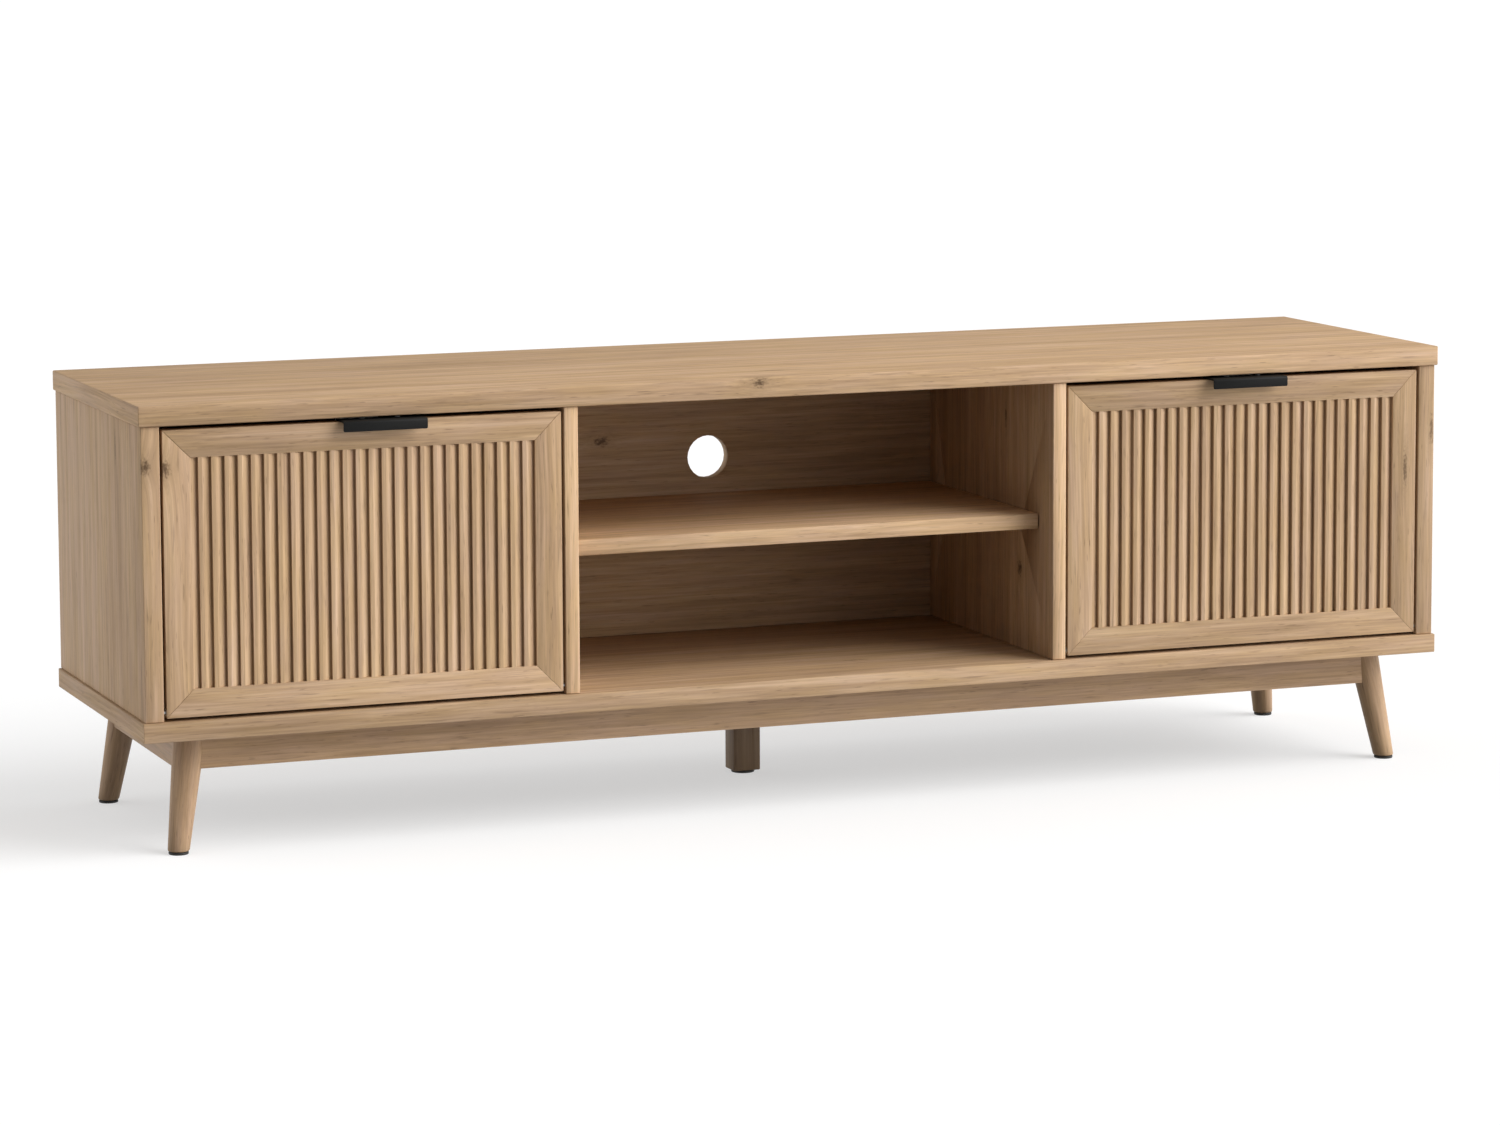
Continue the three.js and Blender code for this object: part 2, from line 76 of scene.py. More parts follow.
def oak(name, dark, middle, light, pore_colour, roughness, grain_depth):
    """Oak whose pattern follows each piece's own grain: soft streaks, fibres, pores and knots."""
    material = bpy.data.materials.new(name)
    material.use_nodes = True
    tree = material.node_tree
    shader = tree.nodes["Principled BSDF"]
    shader.inputs["Specular IOR Level"].default_value = 0.22

    along = add(tree, "ShaderNodeAttribute", attribute_name="grain").outputs["Vector"]
    tone_and_shade = add(tree, "ShaderNodeAttribute", attribute_name="tone_and_shade").outputs["Fac"]

    # How far a point lies from the board's two knots, 0 in the heart and 1 at the rim. The
    # numbers are half of a knot's length along the grain and half of its width.
    reach = {}
    for knot, length, width in (("round_knot", 0.0092, 0.0054), ("long_knot", 0.017, 0.0025)):
        place = add(tree, "ShaderNodeAttribute", attribute_name=knot).outputs["Vector"]
        apart = add(tree, "ShaderNodeVectorMath", {0: along, 1: place}, operation="SUBTRACT")
        inputs = {0: apart, 1: (1 / length, 1 / width, 1 / width)}
        sized = add(tree, "ShaderNodeVectorMath", inputs, operation="MULTIPLY")
        reach[knot] = add(
            tree, "ShaderNodeVectorMath", {0: sized}, operation="LENGTH"
        ).outputs["Value"]

    # The streaks wander a little from straight, and swing round the round knot.
    inputs = {"Vector": along, "Scale": (1 / 0.35, 1 / 0.05, 1 / 0.05)}
    slow = add(tree, "ShaderNodeMapping", inputs)
    drift = add(tree, "ShaderNodeTexNoise", {"Vector": slow, "Scale": 1.0, "Detail": 2.0})
    most = 0.010  # of the wandering to either side, and of the swing
    inputs = {0: drift, 1: 2 * most, 2: -most}
    wander = add(tree, "ShaderNodeMath", inputs, operation="MULTIPLY_ADD")
    fading = add(tree, "ShaderNodeMath", {0: reach["round_knot"], 1: -0.45}, operation="MULTIPLY")
    near = add(tree, "ShaderNodeMath", {0: math.e, 1: fading}, operation="POWER")
    swing = add(tree, "ShaderNodeMath", {0: near, 1: most, 2: wander}, operation="MULTIPLY_ADD")
    shift = add(tree, "ShaderNodeCombineXYZ", {"Y": swing})
    flowing = add(tree, "ShaderNodeVectorMath", {0: along, 1: shift}, operation="ADD")

    # Each pattern is a noise drawn out along the grain, in streaks that long and wide.
    pattern = {}
    for label, lies, length, width, detail in (
        ("broad", flowing, 0.80, 0.042, 2.0),
        ("band", flowing, 0.48, 0.019, 2.0),
        ("streak", flowing, 0.27, 0.0080, 3.0),
        ("thread", flowing, 0.15, 0.0034, 2.0),
        ("fibre", flowing, 0.060, 0.0017, 3.0),
        ("pore", flowing, 0.020, 0.0015, 1.0),
        ("fleck", flowing, 0.060, 0.0034, 2.0),
        ("patch", along, 0.11, 0.018, 2.0),
        ("rag", along, 0.0045, 0.0022, 3.0),
    ):
        inputs = {"Vector": lies, "Scale": (1 / length, 1 / width, 1 / width)}
        drawn_out = add(tree, "ShaderNodeMapping", inputs)
        inputs = {"Vector": drawn_out, "Scale": 1.0, "Detail": detail, "Roughness": 0.6}
        pattern[label] = add(tree, "ShaderNodeTexNoise", inputs)

    mixed = 0.0
    for label, share in (("broad", 0.13), ("band", 0.22), ("streak", 0.34), ("thread", 0.31)):
        inputs = {0: pattern[label], 1: share, 2: mixed}
        mixed = add(tree, "ShaderNodeMath", inputs, operation="MULTIPLY_ADD")
    colour = add(tree, "ShaderNodeValToRGB", {"Fac": mixed})
    stops = colour.color_ramp.elements
    stops[0].position, stops[0].color = 0.39, linear(dark)
    stops[1].position, stops[1].color = 0.61, linear(light)
    stops.new(0.5).color = linear(middle)
    fibre_range = {"Value": pattern["fibre"], "From Min": 0.3, "From Max": 0.7}
    inputs = {**fibre_range, "To Min": 0.90, "To Max": 1.10}
    fibres = add(tree, "ShaderNodeMapRange", inputs)
    inputs = {"Value": pattern["patch"], "From Min": 0.35, "From Max": 0.65}
    clouds = add(tree, "ShaderNodeMapRange", inputs)
    warmer, cooler = (1.03, 1.0, 0.93, 1.0), (1.0, 0.975, 1.02, 1.0)
    inputs = {0: clouds, 6: warmer, 7: cooler}
    tint = add(tree, "ShaderNodeMix", inputs, data_type="RGBA").outputs[2]
    # Each piece's tone scales the colour: the decor's own tone on most pieces, and painted light
    # or shade on some, such as the pieces in the open bay, the front apron and the rear and centre
    # legs.
    for by in (fibres, tint, tone_and_shade):
        colour = add(tree, "ShaderNodeVectorMath", {0: colour, 1: by}, operation="MULTIPLY")

    # Fine dark pores in rows where the streaks are dark, as dashes a finger's width long, and
    # now and then a longer dark fleck.
    inputs = {0: pattern["streak"], 1: -0.18, 2: pattern["pore"]}
    few = add(tree, "ShaderNodeMath", inputs, operation="MULTIPLY_ADD")
    pores = add(tree, "ShaderNodeMapRange", {"Value": few, "From Min": 0.57, "From Max": 0.68})
    inputs = {"Value": pattern["fleck"], "From Min": 0.62, "From Max": 0.78}
    flecks = add(tree, "ShaderNodeMapRange", inputs)
    for marks, strength in ((pores, 0.40), (flecks, 0.42)):
        amount = add(tree, "ShaderNodeMath", {0: marks, 1: strength}, operation="MULTIPLY")
        inputs = {0: amount, 6: colour, 7: linear(pore_colour)}
        colour = add(tree, "ShaderNodeMix", inputs, data_type="RGBA").outputs[2]

    # Each knot has a halo of darker wood, and in it a ragged dark heart.
    inputs = {0: pattern["rag"], 1: 3.0, 2: -1.5}
    ragged = add(tree, "ShaderNodeMath", inputs, operation="MULTIPLY_ADD")
    for knot, darkness in (("round_knot", 0.92), ("long_knot", 0.70)):
        uneven = add(tree, "ShaderNodeMath", {0: reach[knot], 1: ragged}, operation="ADD")
        halo, heart = (3.3, 0.9, 0.55, dark), (1.25, 0.2, darkness, pore_colour)
        for rim, full, strength, shade in (halo, heart):
            inputs = {"Value": uneven, "From Min": rim, "From Max": full}
            within = add(tree, "ShaderNodeMapRange", inputs)
            amount = add(tree, "ShaderNodeMath", {0: within, 1: strength}, operation="MULTIPLY")
            inputs = {0: amount, 6: colour, 7: linear(shade)}
            colour = add(tree, "ShaderNodeMix", inputs, data_type="RGBA").outputs[2]
    tree.links.new(colour, shader.inputs["Base Color"])

    inputs = {**fibre_range, "To Min": roughness - 0.06, "To Max": roughness + 0.08}
    gloss = add(tree, "ShaderNodeMapRange", inputs)
    tree.links.new(gloss.outputs[0], shader.inputs["Roughness"])
    inputs = {0: pores, 1: -0.8, 2: pattern["fibre"]}
    relief = add(tree, "ShaderNodeMath", inputs, operation="MULTIPLY_ADD")
    inputs = {"Height": relief, "Distance": grain_depth, "Strength": 0.5}
    bump = add(tree, "ShaderNodeBump", inputs)
    tree.links.new(bump.outputs["Normal"], shader.inputs["Normal"])
    return material


# Oak decor melamine, printed and embossed. It gives the eye soft streaks a few centimetres
# wide, drawn-out fibres, short dark pores and a dull sheen without any varnish depth.
oak_decor = oak(
    "oak_decor_melamine", dark="#a78a69", middle="#ba9c7a", light="#caad8d",
    pore_colour="#5b442e", roughness=0.6, grain_depth=0.00012,
)

AXES = {"x": Vector((1, 0, 0)), "y": Vector((0, 1, 0)), "z": Vector((0, 0, 1))}
SLANT = Vector((0.36, 0.48, 0.8))  # no grain runs this way
NOWHERE = Vector((900.0, 900.0, 900.0))  # a knot that lies on no board


def cad_shape(node):
    """A CAD node's loose triangles as one closed mesh with its flat faces joined up."""
    same_place, flat = 2e-6, math.radians(0.6)
    shape = bmesh.new()
    shape.from_mesh(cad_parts[node].data)
    bmesh.ops.remove_doubles(shape, verts=shape.verts, dist=same_place)
    bmesh.ops.dissolve_limit(shape, angle_limit=flat, verts=shape.verts, edges=shape.edges)
    return shape


def ease_edges(shape, width, least_edge=0.0, least_angle=40):
    """Rounds every edge that is longer and sharper, in degrees, than the least given."""
    sharp = [
        e
        for e in shape.edges
        if len(e.link_faces) == 2
        and e.calc_length() > least_edge
        and e.calc_face_angle(0) > math.radians(least_angle)
    ]
    bmesh.ops.bevel(
        shape, geom=sharp, offset=width, segments=2, profile=0.5, affect="EDGES",
        clamp_overlap=True,
    )
    return shape


def piece(name, shape, finish, body, stands_for=()):
    """A finished shape, or plain mesh, as an object that rides on a body and stands for nodes."""
    mesh = shape
    if isinstance(shape, bmesh.types.BMesh):
        mesh = bpy.data.meshes.new(name)
        shape.to_mesh(mesh)
        shape.free()
    mesh.name = name
    for face in mesh.polygons:
        face.use_smooth = True
    mesh.set_sharp_from_angle(angle=math.radians(35))
    mesh.materials.clear()
    mesh.materials.append(finish)
    made = bpy.data.objects.new(name, mesh)
    bpy.context.scene.collection.objects.link(made)
    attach(made, body)
    if stands_for:
        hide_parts(*stands_for)
    return made


def lay_grain(made, direction, tone_and_shade=1.0, front=1.0, round_knot=None, long_knot=None, ends=None):
    """Writes where each corner of a piece lies in its own grain, and its tone and its knots.

    ends is the grain's direction on the faces that the main grain runs into, which are edged
    with a strip of their own. front is how much lighter the front edge's strip is."""
    facing = 0.75  # a face whose normal has this much of a direction looks that way
    mesh = made.data
    main = Vector(direction).normalized()
    other = Vector(ends).normalized() if ends else main
    start = Vector([draw.uniform(5, 60) for _ in range(3)])

    def in_grain(point, run):
        across = run.cross(SLANT).normalized()
        for axis, following in (("x", "y"), ("y", "z"), ("z", "x")):
            if run == AXES[axis]:
                across = AXES[following]
        return start + Vector((point.dot(run), point.dot(across), point.dot(run.cross(across))))

    # The tone lightens or darkens the whole piece: the decor's own tone on most pieces, painted
    # light or shade on some.
    places, tones_and_shades = [], []
    for face in mesh.polygons:
        run = other if abs(face.normal.dot(main)) > facing else main
        lightness = tone_and_shade * front if face.normal.y < -facing else tone_and_shade
        for corner in face.loop_indices:
            point = mesh.vertices[mesh.loops[corner].vertex_index].co
            places.extend(in_grain(point, run))
            tones_and_shades.append(lightness)
    mesh.attributes.new("grain", "FLOAT_VECTOR", "CORNER").data.foreach_set("vector", places)
    mesh.attributes.new("tone_and_shade", "FLOAT", "CORNER").data.foreach_set("value", tones_and_shades)
    for label, at in (("round_knot", round_knot), ("long_knot", long_knot)):
        spot = in_grain(Vector(at), main) if at else NOWHERE
        layer = mesh.attributes.new(label, "FLOAT_VECTOR", "POINT")
        layer.data.foreach_set("vector", list(spot) * len(mesh.vertices))
    return made


def board(node, direction, ends, ease=0.0009, tone_and_shade=1.0, front=1.0, body="cabinet", **knots):
    """A decor board in place of its CAD node."""
    shape = ease_edges(cad_shape(node), ease, least_edge=0.0012)
    made = piece(f"{node}_decor", shape, oak_decor, body, [node])
    return lay_grain(made, AXES[direction], tone_and_shade, front, ends=AXES[ends], **knots)


board(
    "top_board", "x", "y", ease=0.0014, tone_and_shade=1.09,
    round_knot=(-0.075, -0.192, 0.5), long_knot=(-0.035, -0.128, 0.505),
)
# The bottom board is painted darker, at a tone of 0.92, as painted shade on the floor of the open
# bay; front=1.08 brings its front edge back up.
board("bottom_board", "x", "y", tone_and_shade=0.92, front=1.08, long_knot=(0.079, -0.099, 0.155))

# ---------------------------------------------------------------------------------------------
# Side panels and dividers. The same board and decor, with the grain upright, standing on the
# bottom board and dowelled to both boards.

board(
    "left_side_panel", "z", "y",
    round_knot=(-0.7925, -0.191, 0.4385), long_knot=(-0.797, -0.076, 0.447),
)
board("right_side_panel", "z", "y", tone_and_shade=1.01, long_knot=(0.7935, -0.191, 0.405))
board("left_divider", "z", "y", tone_and_shade=0.97, front=1.33, long_knot=(-0.2935, 0.03, 0.36))
board(
    "right_divider", "z", "y", tone_and_shade=0.95, front=1.38,
    round_knot=(0.2935, -0.097, 0.2515), long_knot=(0.2935, -0.056, 0.429),
)

# ---------------------------------------------------------------------------------------------
# Back panel. One board between the sides with a round cable hole, its edge eased, decor on
# both faces, held by cam locks let into its rear face.

# The back panel is painted darker, at a tone of 0.86, as painted shade at the back of the open
# bay.
board("back_panel", "x", "z", ease=0.0011, tone_and_shade=0.86, round_knot=(-0.137, 0.173, 0.393))

# ---------------------------------------------------------------------------------------------
# Shelf of the middle bay, a board like the others. It lies loose on four plain steel pins that
# are pushed into the dividers.

# Zinc-plated steel, barrel finished. It gives the eye a soft grey shine with faint clouds.
zinc_steel = bpy.data.materials.new("zinc_plated_steel")
zinc_steel.use_nodes = True
tree = zinc_steel.node_tree
place = add(tree, "ShaderNodeTexCoord").outputs["Object"]
clouds = add(tree, "ShaderNodeTexNoise", {"Vector": place, "Scale": 260.0, "Detail": 3.0})
greys = add(tree, "ShaderNodeValToRGB", {"Fac": clouds})
stops = greys.color_ramp.elements
stops[0].position, stops[0].color = 0.3, linear("#a9abac")
stops[1].position, stops[1].color = 0.7, linear("#c3c5c6")
inputs = {"Value": clouds, "From Min": 0.3, "From Max": 0.7, "To Min": 0.28, "To Max": 0.42}
shine = add(tree, "ShaderNodeMapRange", inputs)
metal = tree.nodes["Principled BSDF"]
metal.inputs["Metallic"].default_value = 1.0
tree.links.new(greys.outputs["Color"], metal.inputs["Base Color"])
tree.links.new(shine.outputs["Result"], metal.inputs["Roughness"])


def hardware(node, finish, body, ease, least_edge=0.0, least_angle=50):
    """A small metal or nylon part in place of its CAD node, with its edges broken."""
    shape = ease_edges(cad_shape(node), ease, least_edge, least_angle)
    return piece(f"{node}_made", shape, finish, body, [node])


# The shelf is painted lighter, at a tone of 1.2, as painted light in the dim middle bay; its front
# edge is lifted a little less.
board("middle_shelf", "x", "y", tone_and_shade=1.2, front=0.97)
for hand in ("left", "right"):
    for row in ("front", "rear"):
        hardware(f"shelf_pin_{hand}_{row}", zinc_steel, "cabinet", 0.0004)

# ---------------------------------------------------------------------------------------------
# Aprons and corner braces of the base. Solid oak rails coped round the legs, and a diagonal
# block glued across each corner.

# Solid oak under satin lacquer. It gives the eye the same streaks as the decor, a little
# browner and tighter, with a soft highlight.
solid_oak = oak(
    "solid_oak_satin_lacquer", dark="#a08363", middle="#b19373", light="#bea081",
    pore_colour="#553e2a", roughness=0.46, grain_depth=0.00008,
)


def oak_rail(node, direction, tone_and_shade=1.0, ease=0.0012, least_edge=0.03):
    """A solid oak rail or block in place of its CAD node."""
    shape = ease_edges(cad_shape(node), ease, least_edge)
    made = piece(f"{node}_oak", shape, solid_oak, "cabinet", [node])
    return lay_grain(made, direction, tone_and_shade)


# The front apron is painted lighter, at a tone of 1.1, as painted light: it lies in the shade
# under the bottom board.
oak_rail("front_apron", AXES["x"], tone_and_shade=1.1)
oak_rail("rear_apron", AXES["x"])
oak_rail("left_apron", AXES["y"], tone_and_shade=0.98)
oak_rail("right_apron", AXES["y"])
for row, way in (("front", 1), ("rear", -1)):
    for hand, side in (("left", -1), ("right", 1)):
        slanting = (1, way * side, 0)
        oak_rail(
            f"{row}_{hand}_corner_brace", slanting, tone_and_shade=0.98, ease=0.0008, least_edge=0.01
        )

# ---------------------------------------------------------------------------------------------
# Four legs, the centre leg and their glides. The legs are turned from solid oak, taper to the
# foot and splay outwards. The centre leg is a square block. Each stands on a nylon glide.

LEG_SIDES = 72
LEG_RINGS = 8  # above the foot
FOOT_ROUND = 0.0022  # round-over at the leg's foot
# The round-over's height and how much it narrows the leg there, in parts of its radius.
FOOT_CURVE = ((0.0, 0.9), (0.12, 0.45), (0.45, 0.12), (1.0, 0.0))


def turned_leg(node):
    """A round tapered leg between the level ends of its CAD node, with a rounded foot."""
    rim = {}
    cone = cad_shape(node)
    for v in cone.verts:
        rim.setdefault(round(v.co.z, 4), []).append(v.co.copy())
    cone.free()
    foot, head = rim[min(rim)], rim[max(rim)]
    centres = [sum(ring, Vector()) / len(ring) for ring in (foot, head)]
    radii = [(ring[0] - centre).length for ring, centre in zip((foot, head), centres)]
    lean = centres[1] - centres[0]
    steps = [(up * FOOT_ROUND, -cut * FOOT_ROUND) for up, cut in FOOT_CURVE]
    steps += [(lean.z * ring / LEG_RINGS, 0.0) for ring in range(1, LEG_RINGS + 1)]
    turns = [2 * math.pi * i / LEG_SIDES for i in range(LEG_SIDES)]
    shape = bmesh.new()
    rings = []
    for height, narrower in steps:
        part = height / lean.z
        middle = centres[0] + lean * part
        radius = radii[0] + (radii[1] - radii[0]) * part + narrower
        spokes = [Vector((radius * math.cos(t), radius * math.sin(t), 0)) for t in turns]
        rings.append([shape.verts.new(middle + spoke) for spoke in spokes])
    for low, high in zip(rings, rings[1:]):
        for i in range(LEG_SIDES):
            j = (i + 1) % LEG_SIDES
            shape.faces.new((low[i], low[j], high[j], high[i]))
    shape.faces.new(list(reversed(rings[0])))
    shape.faces.new(rings[-1])
    made = piece(f"{node}_turned", shape, solid_oak, "cabinet", [node])
    # The rear legs are painted darker than the front ones, as painted shade under the cabinet.
    return lay_grain(made, lean.normalized(), 1.03 if "front" in node else 0.92)


# Dark nylon, injection moulded. It gives the eye a dull, almost black rim under each foot.
dark_nylon = bpy.data.materials.new("moulded_dark_nylon")
dark_nylon.use_nodes = True
tree = dark_nylon.node_tree
place = add(tree, "ShaderNodeTexCoord").outputs["Object"]
grit = add(tree, "ShaderNodeTexNoise", {"Vector": place, "Scale": 900.0, "Detail": 2.0})
darks = add(tree, "ShaderNodeValToRGB", {"Fac": grit})
darks.color_ramp.elements[0].color = linear("#1d1b18")
darks.color_ramp.elements[1].color = linear("#2f2c28")
rise = add(tree, "ShaderNodeBump", {"Height": grit, "Distance": 0.0001, "Strength": 0.4})
plastic = tree.nodes["Principled BSDF"]
plastic.inputs["Roughness"].default_value = 0.62
tree.links.new(darks.outputs["Color"], plastic.inputs["Base Color"])
tree.links.new(rise.outputs["Normal"], plastic.inputs["Normal"])

for row in ("front", "rear"):
    for hand in ("left", "right"):
        turned_leg(f"{row}_{hand}_leg")
        hardware(f"{row}_{hand}_glide", dark_nylon, "cabinet", 0.0007)
# The centre leg is painted much darker, at a tone of 0.65, as painted shade behind the front
# apron.
oak_rail("centre_leg", AXES["z"], tone_and_shade=0.65, ease=0.0015, least_edge=0.01)
hardware("centre_glide", dark_nylon, "cabinet", 0.0007)

# ---------------------------------------------------------------------------------------------
# Door frames. Four members of decor-wrapped board to each door, mitred at the corners and
# rebated behind for the fluted panel.

RAILS_AND_STILES = {"bottom_rail": "x", "top_rail": "x", "left_stile": "z", "right_stile": "z"}
marks = {  # the members that are lighter than the rest or have a knot
    "left_door_left_stile": {"round_knot": (-0.7705, -0.190, 0.4345)},
    "left_door_right_stile": {"tone_and_shade": 1.17},
    "right_door_right_stile": {"tone_and_shade": 1.09, "long_knot": (0.7585, -0.190, 0.359)},
}
for door in ("left_door", "right_door"):
    for member, run in RAILS_AND_STILES.items():
        node = f"{door}_{member}"
        board(node, run, run, ease=0.0004, body=door, **marks.get(node, {}))

# ---------------------------------------------------------------------------------------------
# Fluted panels. Routed board under the same decor: stepped hollows with flat lands between
# them, counted from the right stile, the lands flush with the frame.

FLUTE_PITCH = 0.01495
FLUTE_LAND = 0.0045
FLUTE_DEPTH = 0.0052
FLUTE_CURVE = 1.15  # how hollow the rise is: 1 would be a straight slope
COLUMNS_PER_FLUTE = 30.0
TONGUE_BACK = 0.0073  # from the panel's face to the plain tongue behind the flutes
OVERLAP = 0.0004  # how far the flutes' rear reaches into the tongue
SEAT = 0.0002  # the decor closes the seat gap to the frame


def geometry_tree(name, **inputs):
    """A geometry tree with those named inputs, its input sockets, and their identifiers."""
    tree = bpy.data.node_groups.new(name, "GeometryNodeTree")
    tree.interface.new_socket(name="Geometry", in_out="OUTPUT", socket_type="NodeSocketGeometry")
    known = {
        label: tree.interface.new_socket(
            name=label, in_out="INPUT", socket_type=f"NodeSocket{kind}"
        ).identifier
        for label, kind in inputs.items()
    }
    return tree, tree.nodes.new("NodeGroupInput").outputs, known


flutes, given, flute_inputs = geometry_tree(
    "fluted_panel",
    right_edge="Float", width="Float", foot="Float", height="Float", face="Float", rear="Float",
    pitch="Float", land="Float", depth="Float", curve="Float", finish="Material",
)

# The columns of the sheet are counted from the right. The last column of a flute and the first
# of the next share one place, so that the step between them is upright.
inputs = {0: given["width"], 1: given["pitch"]}
flute_count = add(flutes, "ShaderNodeMath", inputs, operation="DIVIDE")
flute_count = add(flutes, "ShaderNodeMath", {0: flute_count}, operation="CEIL")
inputs = {0: flute_count, 1: COLUMNS_PER_FLUTE}
columns = add(flutes, "ShaderNodeMath", inputs, operation="MULTIPLY")
spans = add(flutes, "ShaderNodeMath", {0: columns, 1: -1.0}, operation="ADD")
inputs = {"Size X": spans, "Size Y": 1.0, "Vertices X": columns, "Vertices Y": 2}
sheet = add(flutes, "GeometryNodeMeshGrid", inputs)
spot = add(flutes, "ShaderNodeSeparateXYZ", {0: flutes.nodes.new("GeometryNodeInputPosition")})
inputs = {0: spans, 1: 0.5, 2: 0.5}
from_right = add(flutes, "ShaderNodeMath", inputs, operation="MULTIPLY_ADD")
inputs = {0: from_right, 1: spot.outputs["X"]}
from_right = add(flutes, "ShaderNodeMath", inputs, operation="SUBTRACT")
column = add(flutes, "ShaderNodeMath", {0: from_right}, operation="FLOOR")
whole = add(flutes, "ShaderNodeMath", {0: column, 1: COLUMNS_PER_FLUTE}, operation="DIVIDE")
whole = add(flutes, "ShaderNodeMath", {0: whole}, operation="FLOOR")
inputs = {0: whole, 1: -COLUMNS_PER_FLUTE, 2: column}
in_flute = add(flutes, "ShaderNodeMath", inputs, operation="MULTIPLY_ADD")
part = add(flutes, "ShaderNodeMath", {0: in_flute, 1: COLUMNS_PER_FLUTE - 1.0}, operation="DIVIDE")
inputs = {0: whole, 1: given["pitch"]}
flute_start = add(flutes, "ShaderNodeMath", inputs, operation="MULTIPLY")
inputs = {0: part, 1: given["pitch"], 2: flute_start}
inward = add(flutes, "ShaderNodeMath", inputs, operation="MULTIPLY_ADD")
inward = add(flutes, "ShaderNodeMath", {0: inward, 1: given["width"]}, operation="MINIMUM")

# The rise falls away from the step by the power that curve gives, and is level at the land.
into = add(flutes, "ShaderNodeMath", {0: inward, 1: flute_start}, operation="SUBTRACT")
inputs = {0: given["pitch"], 1: given["land"]}
hollow = add(flutes, "ShaderNodeMath", inputs, operation="SUBTRACT")
risen = add(flutes, "ShaderNodeMath", {0: into, 1: hollow}, operation="DIVIDE")
inputs = {0: 1.0, 1: risen}
left_over = add(flutes, "ShaderNodeMath", inputs, operation="SUBTRACT", use_clamp=True)
rounded = add(flutes, "ShaderNodeMath", {0: left_over, 1: given["curve"]}, operation="POWER")
inputs = {0: rounded, 1: given["depth"], 2: given["face"]}
front = add(flutes, "ShaderNodeMath", inputs, operation="MULTIPLY_ADD")
inputs = {0: spot.outputs["Y"], 1: 0.0}
is_front = add(flutes, "FunctionNodeCompare", inputs, operation="LESS_THAN")
inputs = {"Switch": is_front, "False": given["rear"], "True": front}
through = add(flutes, "GeometryNodeSwitch", inputs, input_type="FLOAT")
inputs = {0: given["right_edge"], 1: inward}
across = add(flutes, "ShaderNodeMath", inputs, operation="SUBTRACT")

# The section lies at the panel's foot and is drawn up to its full height.
inputs = {"X": across, "Y": through, "Z": given["foot"]}
drawn = add(flutes, "ShaderNodeCombineXYZ", inputs)
inputs = {"Geometry": sheet.outputs["Mesh"], "Position": drawn}
section = add(flutes, "GeometryNodeSetPosition", inputs)
up = add(flutes, "ShaderNodeCombineXYZ", {"Z": given["height"]})
inputs = {"Mesh": section, "Offset": up, "Offset Scale": 1.0, "Individual": False}
raised = add(flutes, "GeometryNodeExtrudeMesh", inputs)
foot = add(flutes, "GeometryNodeFlipFaces", {0: section})
both = add(flutes, "GeometryNodeJoinGeometry", {0: raised})
flutes.links.new(foot.outputs[0], both.inputs[0])
closed = add(flutes, "GeometryNodeMergeByDistance", {"Geometry": both, "Distance": 1e-6})
solid = add(flutes, "GeometryNodeRealizeInstances", {0: closed})
coated = add(flutes, "GeometryNodeSetMaterial", {0: solid, "Material": given["finish"]})
add(flutes, "NodeGroupOutput", {0: coated})


def grown(name, tree, inputs, mesh=None):
    """Evaluates a geometry tree once with those inputs and gives the plain mesh it makes."""
    host = bpy.data.objects.new(name, mesh or bpy.data.meshes.new(name))
    bpy.context.scene.collection.objects.link(host)
    modifier = host.modifiers.new("grow", "NODES")
    modifier.node_group = tree
    for identifier, value in inputs.items():
        modifier[identifier] = value
    made = bpy.data.meshes.new_from_object(
        host.evaluated_get(bpy.context.evaluated_depsgraph_get())
    )
    bpy.data.objects.remove(host)
    return made


for door in ("left_door", "right_door"):
    node = f"{door}_fluted_panel"
    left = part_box(f"{door}_left_stile")[1].x - SEAT
    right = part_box(f"{door}_right_stile")[0].x + SEAT
    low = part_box(f"{door}_bottom_rail")[1].z - SEAT
    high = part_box(f"{door}_top_rail")[0].z + SEAT
    panel_low, panel_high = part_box(node)
    sizes = {
        "right_edge": right, "width": right - left, "foot": low, "height": high - low,
        "face": panel_low.y, "rear": panel_low.y + TONGUE_BACK + OVERLAP, "pitch": FLUTE_PITCH,
        "land": FLUTE_LAND, "depth": FLUTE_DEPTH, "curve": FLUTE_CURVE, "finish": oak_decor,
    }
    mesh = grown(node, flutes, {flute_inputs[label]: value for label, value in sizes.items()})
    made = piece(f"{node}_decor", mesh, oak_decor, door, [node])
    lay_grain(made, AXES["z"], tone_and_shade=0.99)

    # The tongue behind the flutes sits in the rebates of the frame and shows from the rear.
    tongue = bmesh.new()
    bmesh.ops.create_cube(tongue, size=1.0)
    tongue_low = Vector((panel_low.x, panel_low.y + TONGUE_BACK, panel_low.z))
    for v in tongue.verts:
        ends = zip(v.co, tongue_low, panel_high)
        v.co = [near if place < 0 else far for place, near, far in ends]
    ease_edges(tongue, 0.0005)
    made = piece(f"{node}_tongue", tongue, oak_decor, door, [node])
    lay_grain(made, AXES["z"], tone_and_shade=0.98)

# ---------------------------------------------------------------------------------------------
# Pulls. Steel sheet 2 mm thick, folded once, powder coated black and screwed down on the
# door's top edge. The front leaf hangs down as the finger grip.

